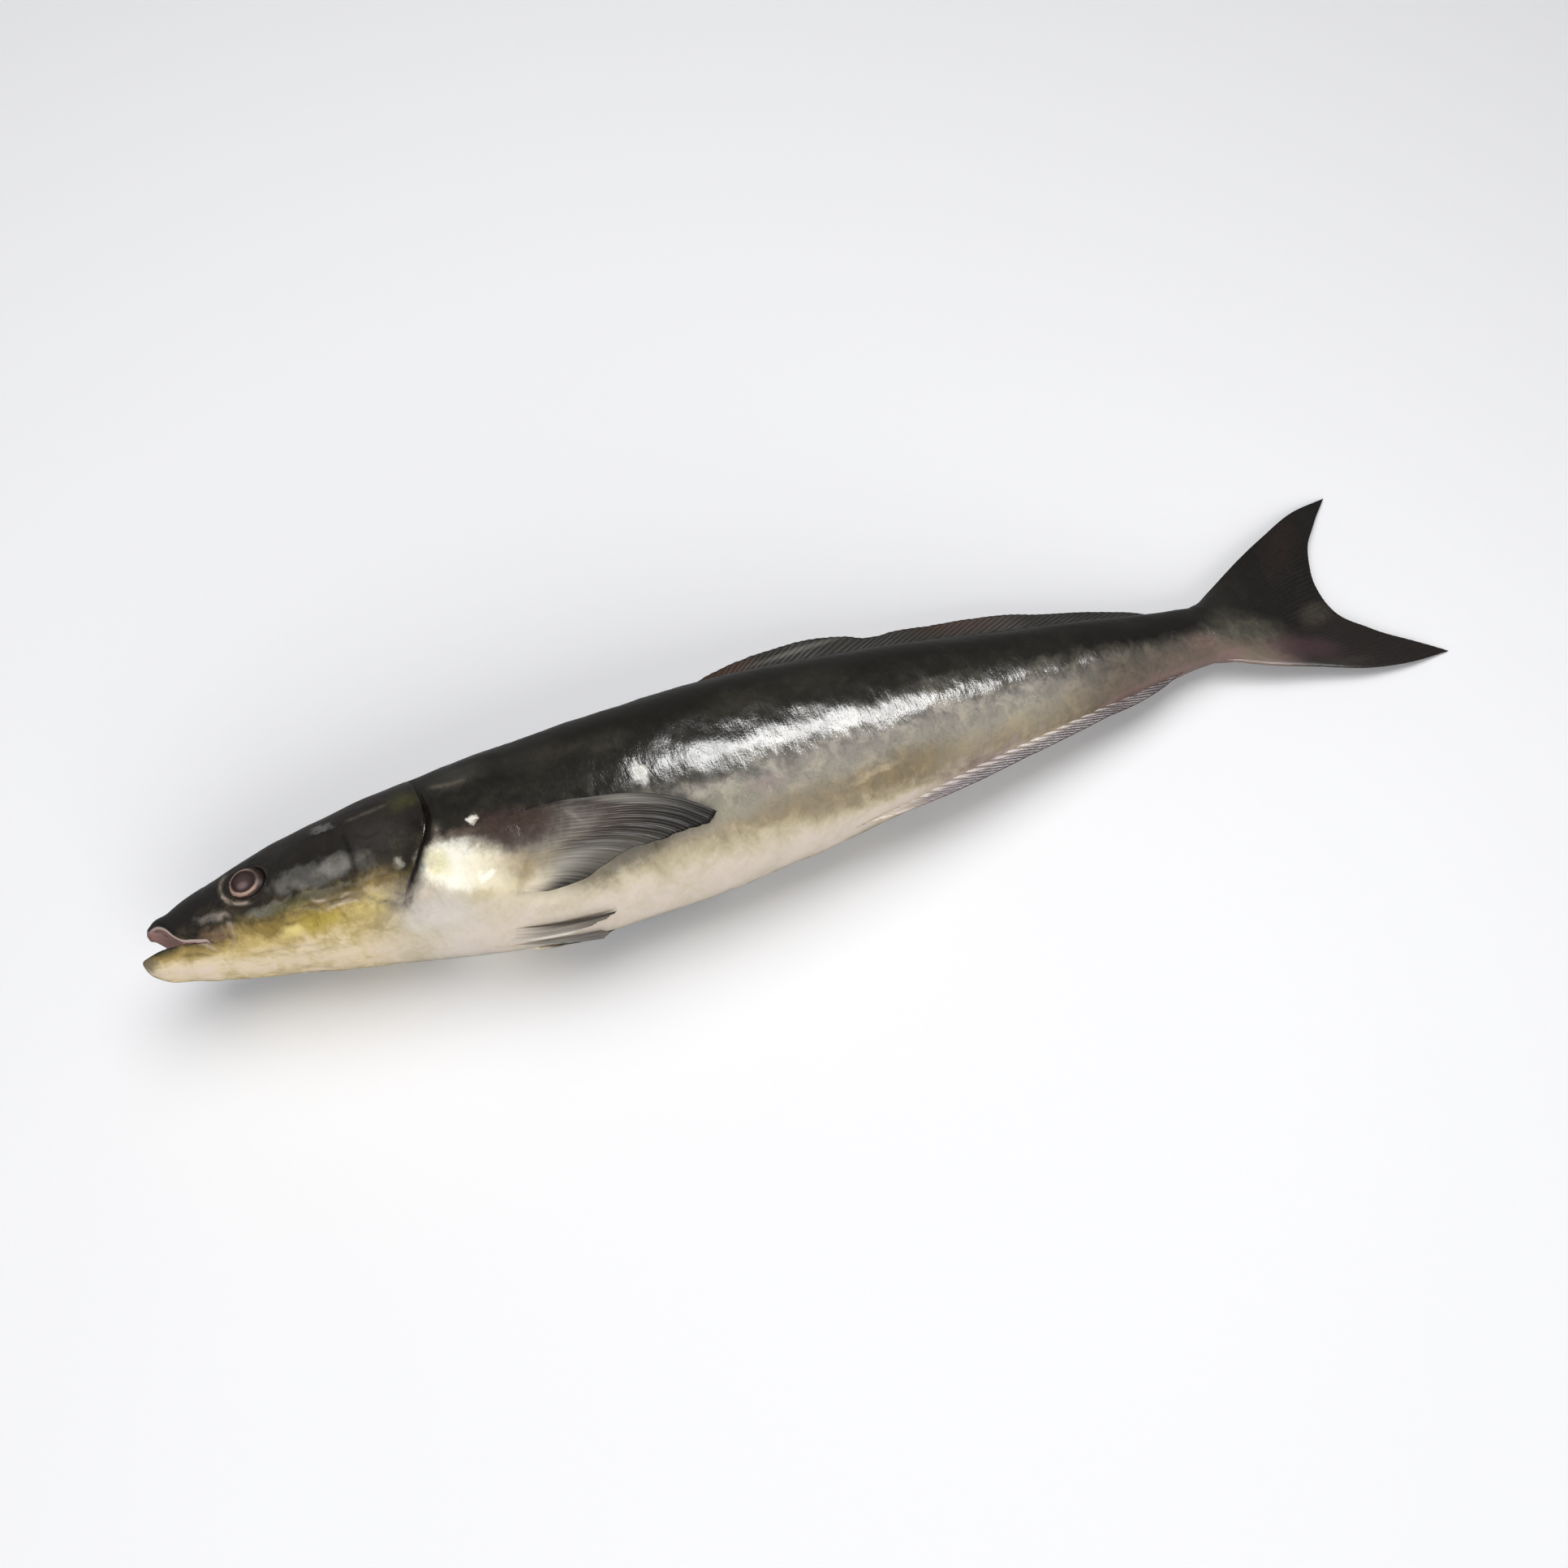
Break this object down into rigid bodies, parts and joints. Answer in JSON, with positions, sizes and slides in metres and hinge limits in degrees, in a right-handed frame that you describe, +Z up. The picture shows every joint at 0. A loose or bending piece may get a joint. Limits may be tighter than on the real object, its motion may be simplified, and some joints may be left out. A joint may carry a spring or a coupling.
{
  "type": "whole raw fish",
  "caption": "Whole raw fish lying on its side, with forked tail, long low back and belly fins, paired fins and a slightly open mouth.",
  "frame": {"origin": "flat spot of the right flank that the fish rests on, at table level", "axes": "+X along the fish from snout to tail, +Y to its back, +Z up out of the left flank"},
  "size_m": [0.6479, 0.1294, 0.0849],
  "materials": {
    "skin": "wet fish skin, dark back and cream belly",
    "eye": "moist eyeball"
  },
  "bodies": {
    "root": {"fish": "skin", "eye_left": "eye", "eye_right": "eye"}
  },
  "joints": []
}
